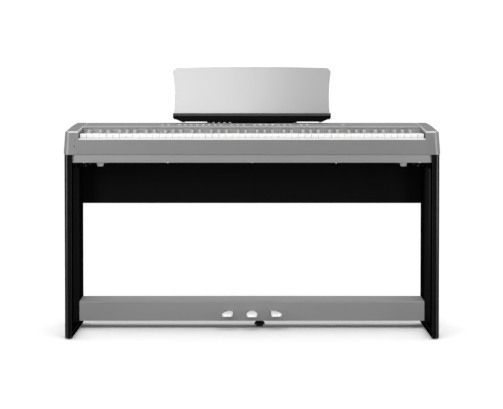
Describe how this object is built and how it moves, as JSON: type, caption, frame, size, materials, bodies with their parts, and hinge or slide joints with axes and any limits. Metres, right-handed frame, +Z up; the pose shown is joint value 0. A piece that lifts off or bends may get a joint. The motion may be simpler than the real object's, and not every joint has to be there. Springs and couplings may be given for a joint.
{
  "type": "digital piano on stand",
  "caption": "Slab digital piano with a lift-off music rest on an open-sided panel-leg stand, with a back panel and a three-pedal box.",
  "frame": {"origin": "on the floor under the middle of the object's bounding box", "axes": "+X to the player's right along the keyboard, +Y from the player towards the back panel, +Z up"},
  "size_m": [1.3404, 0.378, 0.975],
  "materials": {
    "case_grey": "satin",
    "panel_grey": "satin",
    "chassis_steel": "satin",
    "rod_steel": "brushed",
    "red_felt": "felt",
    "hammer_plastic": "satin",
    "circuit_board": "satin",
    "display_lens": "gloss",
    "speaker_paper": "satin",
    "grille_metal": "satin",
    "jack_metal": "satin",
    "socket_black": "satin",
    "foot_rubber": "matte",
    "screw_steel": "satin",
    "ledge_black": "satin",
    "rest_silver": "satin",
    "stand_black": "satin laminate",
    "bracket_black": "satin",
    "bolt_steel": "satin",
    "glide_plastic": "satin",
    "box_grey": "satin laminate",
    "key_white": "gloss",
    "key_grey": "satin",
    "control_grey": "satin",
    "pedal_metal": "polished",
    "adjuster_black": "satin"
  },
  "bodies": {
    "piano_and_stand": {"bottom_case": "panel_grey", "top_cover": "panel_grey", "fallboard": "case_grey", "left_end_block": "case_grey", "right_end_block": "case_grey", "key_slip": "case_grey", "key_chassis": "chassis_steel", "key_pivot_rod": "rod_steel", "key_felt": "red_felt", "hammer_set": "hammer_plastic", "main_circuit_board": "circuit_board", "display": "display_lens", "speakers": "speaker_paper", "speaker_grilles": "grille_metal", "headphone_jacks": "jack_metal", "rear_sockets": "socket_black", "case_feet": "foot_rubber", "case_screws": "screw_steel", "left_leg_post": "stand_black", "right_leg_post": "stand_black", "left_leg_panel": "stand_black", "right_leg_panel": "stand_black", "left_leg_foot": "stand_black", "right_leg_foot": "stand_black", "back_panel": "stand_black", "stand_brackets": "bracket_black", "thumb_bolts": "bolt_steel", "floor_glides": "glide_plastic", "pedal_box": "box_grey", "pedal_axle": "rod_steel"},
    "music_rest": {"rest_ledge": "ledge_black", "rest_panel": "rest_silver"},
    "keys_c": {"keys_c": "key_white"},
    "keys_c_sharp": {"keys_c_sharp": "key_grey"},
    "keys_d": {"keys_d": "key_white"},
    "keys_d_sharp": {"keys_d_sharp": "key_grey"},
    "keys_e": {"keys_e": "key_white"},
    "keys_f": {"keys_f": "key_white"},
    "keys_f_sharp": {"keys_f_sharp": "key_grey"},
    "keys_g": {"keys_g": "key_white"},
    "keys_g_sharp": {"keys_g_sharp": "key_grey"},
    "keys_a": {"keys_a": "key_white"},
    "keys_a_sharp": {"keys_a_sharp": "key_grey"},
    "keys_b": {"keys_b": "key_white"},
    "mode_buttons": {"mode_buttons": "control_grey"},
    "sound_buttons": {"sound_buttons": "control_grey"},
    "rhythm_buttons": {"rhythm_buttons": "control_grey"},
    "recorder_buttons": {"recorder_buttons": "control_grey"},
    "setting_buttons": {"setting_buttons": "control_grey"},
    "power_button": {"power_button": "control_grey"},
    "volume_slider": {"volume_slider": "control_grey"},
    "low_slider": {"low_slider": "control_grey"},
    "mid_low_slider": {"mid_low_slider": "control_grey"},
    "mid_high_slider": {"mid_high_slider": "control_grey"},
    "high_slider": {"high_slider": "control_grey"},
    "left_pedal": {"left_pedal": "pedal_metal"},
    "centre_pedal": {"centre_pedal": "pedal_metal"},
    "right_pedal": {"right_pedal": "pedal_metal"},
    "adjuster_pad": {"adjuster_pad": "adjuster_black"},
    "adjuster_knob": {"adjuster_knob": "adjuster_black"}
  },
  "joints": [
    {"name": "keys_c_press", "type": "hinge", "parent": "piano_and_stand", "child": "keys_c", "pos_m": [0, 0.141, 0.7085], "axis": [1, 0, 0], "range_deg": [0, 1.9], "stiffness_Nm_per_rad": 8, "springref_deg": -17.19},
    {"name": "keys_c_sharp_press", "type": "hinge", "parent": "piano_and_stand", "child": "keys_c_sharp", "pos_m": [0, 0.141, 0.7085], "axis": [1, 0, 0], "range_deg": [0, 1.9], "stiffness_Nm_per_rad": 8, "springref_deg": -17.19},
    {"name": "keys_d_press", "type": "hinge", "parent": "piano_and_stand", "child": "keys_d", "pos_m": [0, 0.141, 0.7085], "axis": [1, 0, 0], "range_deg": [0, 1.9], "stiffness_Nm_per_rad": 8, "springref_deg": -17.19},
    {"name": "keys_d_sharp_press", "type": "hinge", "parent": "piano_and_stand", "child": "keys_d_sharp", "pos_m": [0, 0.141, 0.7085], "axis": [1, 0, 0], "range_deg": [0, 1.9], "stiffness_Nm_per_rad": 8, "springref_deg": -17.19},
    {"name": "keys_e_press", "type": "hinge", "parent": "piano_and_stand", "child": "keys_e", "pos_m": [0, 0.141, 0.7085], "axis": [1, 0, 0], "range_deg": [0, 1.9], "stiffness_Nm_per_rad": 8, "springref_deg": -17.19},
    {"name": "keys_f_press", "type": "hinge", "parent": "piano_and_stand", "child": "keys_f", "pos_m": [0, 0.141, 0.7085], "axis": [1, 0, 0], "range_deg": [0, 1.9], "stiffness_Nm_per_rad": 8, "springref_deg": -17.19},
    {"name": "keys_f_sharp_press", "type": "hinge", "parent": "piano_and_stand", "child": "keys_f_sharp", "pos_m": [0, 0.141, 0.7085], "axis": [1, 0, 0], "range_deg": [0, 1.9], "stiffness_Nm_per_rad": 8, "springref_deg": -17.19},
    {"name": "keys_g_press", "type": "hinge", "parent": "piano_and_stand", "child": "keys_g", "pos_m": [0, 0.141, 0.7085], "axis": [1, 0, 0], "range_deg": [0, 1.9], "stiffness_Nm_per_rad": 8, "springref_deg": -17.19},
    {"name": "keys_g_sharp_press", "type": "hinge", "parent": "piano_and_stand", "child": "keys_g_sharp", "pos_m": [0, 0.141, 0.7085], "axis": [1, 0, 0], "range_deg": [0, 1.9], "stiffness_Nm_per_rad": 8, "springref_deg": -17.19},
    {"name": "keys_a_press", "type": "hinge", "parent": "piano_and_stand", "child": "keys_a", "pos_m": [0, 0.141, 0.7085], "axis": [1, 0, 0], "range_deg": [0, 1.9], "stiffness_Nm_per_rad": 8, "springref_deg": -17.19},
    {"name": "keys_a_sharp_press", "type": "hinge", "parent": "piano_and_stand", "child": "keys_a_sharp", "pos_m": [0, 0.141, 0.7085], "axis": [1, 0, 0], "range_deg": [0, 1.9], "stiffness_Nm_per_rad": 8, "springref_deg": -17.19},
    {"name": "keys_b_press", "type": "hinge", "parent": "piano_and_stand", "child": "keys_b", "pos_m": [0, 0.141, 0.7085], "axis": [1, 0, 0], "range_deg": [0, 1.9], "stiffness_Nm_per_rad": 8, "springref_deg": -17.19},
    {"name": "mode_buttons_press", "type": "slide", "parent": "piano_and_stand", "child": "mode_buttons", "axis": [0, 0, -1], "range_m": [0, 0.001], "stiffness_N_per_m": 800, "springref_m": -0.001},
    {"name": "sound_buttons_press", "type": "slide", "parent": "piano_and_stand", "child": "sound_buttons", "axis": [0, 0, -1], "range_m": [0, 0.001], "stiffness_N_per_m": 800, "springref_m": -0.001},
    {"name": "rhythm_buttons_press", "type": "slide", "parent": "piano_and_stand", "child": "rhythm_buttons", "axis": [0, 0, -1], "range_m": [0, 0.001], "stiffness_N_per_m": 800, "springref_m": -0.001},
    {"name": "recorder_buttons_press", "type": "slide", "parent": "piano_and_stand", "child": "recorder_buttons", "axis": [0, 0, -1], "range_m": [0, 0.001], "stiffness_N_per_m": 800, "springref_m": -0.001},
    {"name": "setting_buttons_press", "type": "slide", "parent": "piano_and_stand", "child": "setting_buttons", "axis": [0, 0, -1], "range_m": [0, 0.001], "stiffness_N_per_m": 800, "springref_m": -0.001},
    {"name": "power_button_press", "type": "slide", "parent": "piano_and_stand", "child": "power_button", "axis": [0, 0, -1], "range_m": [0, 0.001], "stiffness_N_per_m": 800, "springref_m": -0.001},
    {"name": "volume_slider_slide", "type": "slide", "parent": "piano_and_stand", "child": "volume_slider", "axis": [0, 1, 0], "range_m": [-0.01, 0.01]},
    {"name": "low_slider_slide", "type": "slide", "parent": "piano_and_stand", "child": "low_slider", "axis": [0, 1, 0], "range_m": [-0.01, 0.01]},
    {"name": "mid_low_slider_slide", "type": "slide", "parent": "piano_and_stand", "child": "mid_low_slider", "axis": [0, 1, 0], "range_m": [-0.01, 0.01]},
    {"name": "mid_high_slider_slide", "type": "slide", "parent": "piano_and_stand", "child": "mid_high_slider", "axis": [0, 1, 0], "range_m": [-0.01, 0.01]},
    {"name": "high_slider_slide", "type": "slide", "parent": "piano_and_stand", "child": "high_slider", "axis": [0, 1, 0], "range_m": [-0.01, 0.01]},
    {"name": "left_pedal_press", "type": "hinge", "parent": "piano_and_stand", "child": "left_pedal", "pos_m": [0, 0.146, 0.062], "axis": [1, 0, 0], "range_deg": [0, 5], "stiffness_Nm_per_rad": 10, "springref_deg": -11.46},
    {"name": "centre_pedal_press", "type": "hinge", "parent": "piano_and_stand", "child": "centre_pedal", "pos_m": [0, 0.146, 0.062], "axis": [1, 0, 0], "range_deg": [0, 5], "stiffness_Nm_per_rad": 10, "springref_deg": -11.46},
    {"name": "right_pedal_press", "type": "hinge", "parent": "piano_and_stand", "child": "right_pedal", "pos_m": [0, 0.146, 0.062], "axis": [1, 0, 0], "range_deg": [0, 5], "stiffness_Nm_per_rad": 10, "springref_deg": -11.46},
    {"name": "music_rest_lift", "type": "slide", "parent": "piano_and_stand", "child": "music_rest", "axis": [0, 0, 1], "range_m": [0, 0.04]},
    {"name": "adjuster_lift", "type": "slide", "parent": "piano_and_stand", "child": "adjuster_pad", "axis": [0, 0, 1], "range_m": [0, 0.0055]},
    {"name": "adjuster_turn", "type": "hinge", "parent": "adjuster_pad", "child": "adjuster_knob", "pos_m": [0.029, 0.126, 0.02], "axis": [0, 0, 1], "range_deg": [0, 1320]}
  ],
  "couplings": [
    {"joint": "adjuster_lift", "follows": "adjuster_turn", "m_per_rad": 0.00023873}
  ]
}
